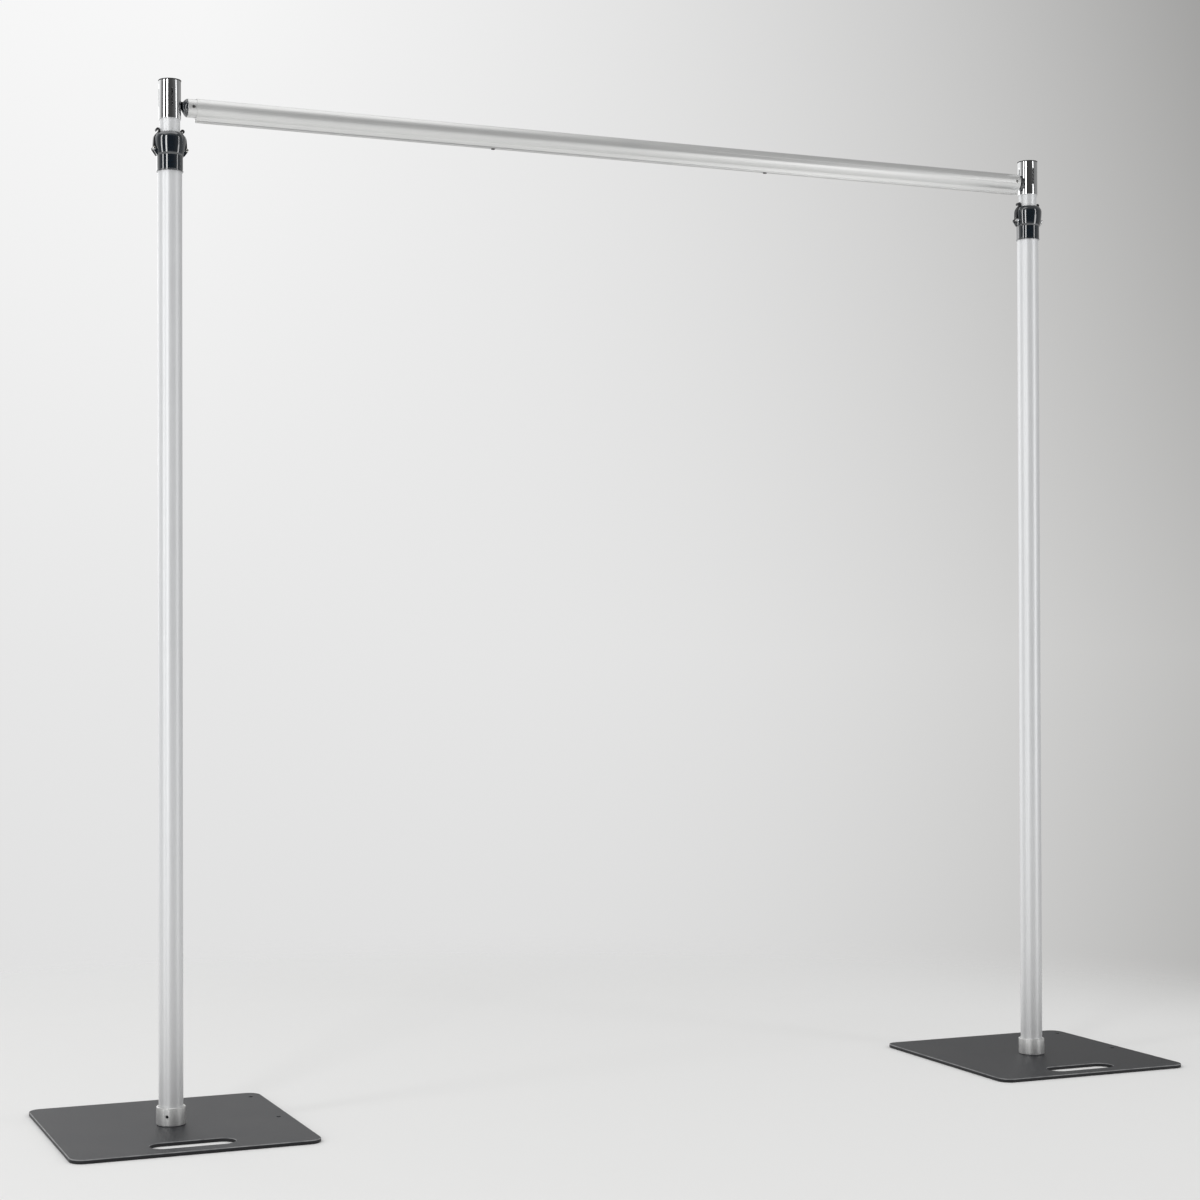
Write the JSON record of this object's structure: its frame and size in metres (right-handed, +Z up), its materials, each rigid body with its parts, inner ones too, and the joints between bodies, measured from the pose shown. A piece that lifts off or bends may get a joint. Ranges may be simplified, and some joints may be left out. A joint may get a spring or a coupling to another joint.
{
  "type": "pipe and drape backdrop",
  "caption": "Free-standing backdrop frame: telescoping uprights on flat steel bases, joined by a telescoping crossbar that hooks into slotted heads; no drape.",
  "frame": {"origin": "on the floor, midway between the two uprights' axes and midway between the bases' front and back edges", "axes": "+X along the crossbar from the left stand to the right stand, +Y from the front of the bases, where the hand slots are, to the back, +Z up"},
  "size_m": [2.59, 0.5, 2.1421],
  "materials": {
    "powder_coat": "satin charcoal powder coat, fine texture",
    "satin_aluminium": "satin anodised",
    "chrome": "polished",
    "zinc_steel": "bright zinc",
    "black_gloss": "glossy moulded",
    "black_satin": "satin moulded",
    "black_steel": "black coated steel"
  },
  "bodies": {
    "left_stand": {"left_base_plate": "powder_coat", "left_spigot": "zinc_steel", "left_spigot_bolt": "zinc_steel", "left_socket_ring": "satin_aluminium", "left_set_screw": "black_steel", "left_upright_tube": "satin_aluminium", "left_upper_bush": "black_satin", "left_slip_collar": "black_gloss", "left_inner_lever_pin": "zinc_steel", "left_outer_lever_pin": "zinc_steel", "left_inner_lever_spring": "zinc_steel", "left_outer_lever_spring": "zinc_steel"},
    "left_mast": {"left_mast_tube": "satin_aluminium", "left_mast_guide": "black_satin", "left_slotted_head": "chrome", "left_head_cap": "black_satin"},
    "crossbar_inner": {"inner_bar_tube": "satin_aluminium", "inner_bar_guide": "black_satin", "left_end_plug": "black_gloss", "left_plug_screw": "zinc_steel", "left_hook": "black_steel"},
    "crossbar_outer": {"outer_bar_tube": "satin_aluminium", "right_end_plug": "black_gloss", "right_plug_screw": "zinc_steel", "right_hook": "black_steel", "left_track_stop": "black_satin", "right_track_stop": "black_satin"},
    "right_stand": {"right_base_plate": "powder_coat", "right_spigot": "zinc_steel", "right_spigot_bolt": "zinc_steel", "right_socket_ring": "satin_aluminium", "right_set_screw": "black_steel", "right_upright_tube": "satin_aluminium", "right_upper_bush": "black_satin", "right_slip_collar": "black_gloss", "right_inner_lever_pin": "zinc_steel", "right_outer_lever_pin": "zinc_steel", "right_inner_lever_spring": "zinc_steel", "right_outer_lever_spring": "zinc_steel"},
    "right_mast": {"right_mast_tube": "satin_aluminium", "right_mast_guide": "black_satin", "right_slotted_head": "chrome", "right_head_cap": "black_satin"},
    "left_inner_lock": {"left_inner_lever": "black_satin"},
    "left_outer_lock": {"left_outer_lever": "black_satin"},
    "right_inner_lock": {"right_inner_lever": "black_satin"},
    "right_outer_lock": {"right_outer_lever": "black_satin"}
  },
  "joints": [
    {"name": "left_mast_slide", "type": "slide", "parent": "left_stand", "child": "left_mast", "axis": [0, 0, 1], "range_m": [0, 1.5]},
    {"name": "right_stand_slide", "type": "slide", "parent": "left_stand", "child": "right_stand", "axis": [1, 0, 0], "range_m": [0, 1.5]},
    {"name": "right_mast_slide", "type": "slide", "parent": "right_stand", "child": "right_mast", "axis": [0, 0, 1], "range_m": [0, 1.5]},
    {"name": "crossbar_lift", "type": "slide", "parent": "left_mast", "child": "crossbar_inner", "axis": [0, 0, 1], "range_m": [0, 0.022]},
    {"name": "crossbar_extension", "type": "slide", "parent": "crossbar_inner", "child": "crossbar_outer", "axis": [1, 0, 0], "range_m": [0, 1.5]},
    {"name": "left_inner_lever_hinge", "type": "hinge", "parent": "left_stand", "child": "left_inner_lock", "pos_m": [-1.0112, 0, 1.9985], "axis": [0, 1, 0], "range_deg": [0, 10], "stiffness_Nm_per_rad": 0.2, "springref_deg": -5.73},
    {"name": "left_outer_lever_hinge", "type": "hinge", "parent": "left_stand", "child": "left_outer_lock", "pos_m": [-1.0788, 0, 1.9985], "axis": [0, -1, 0], "range_deg": [0, 10], "stiffness_Nm_per_rad": 0.2, "springref_deg": -5.73},
    {"name": "right_inner_lever_hinge", "type": "hinge", "parent": "right_stand", "child": "right_inner_lock", "pos_m": [1.0112, 0, 1.9985], "axis": [0, -1, 0], "range_deg": [0, 10], "stiffness_Nm_per_rad": 0.2, "springref_deg": -5.73},
    {"name": "right_outer_lever_hinge", "type": "hinge", "parent": "right_stand", "child": "right_outer_lock", "pos_m": [1.0788, 0, 1.9985], "axis": [0, 1, 0], "range_deg": [0, 10], "stiffness_Nm_per_rad": 0.2, "springref_deg": -5.73}
  ],
  "couplings": [
    {"joint": "right_mast_slide", "follows": "left_mast_slide", "ratio": 1},
    {"joint": "crossbar_extension", "follows": "right_stand_slide", "ratio": 1}
  ]
}
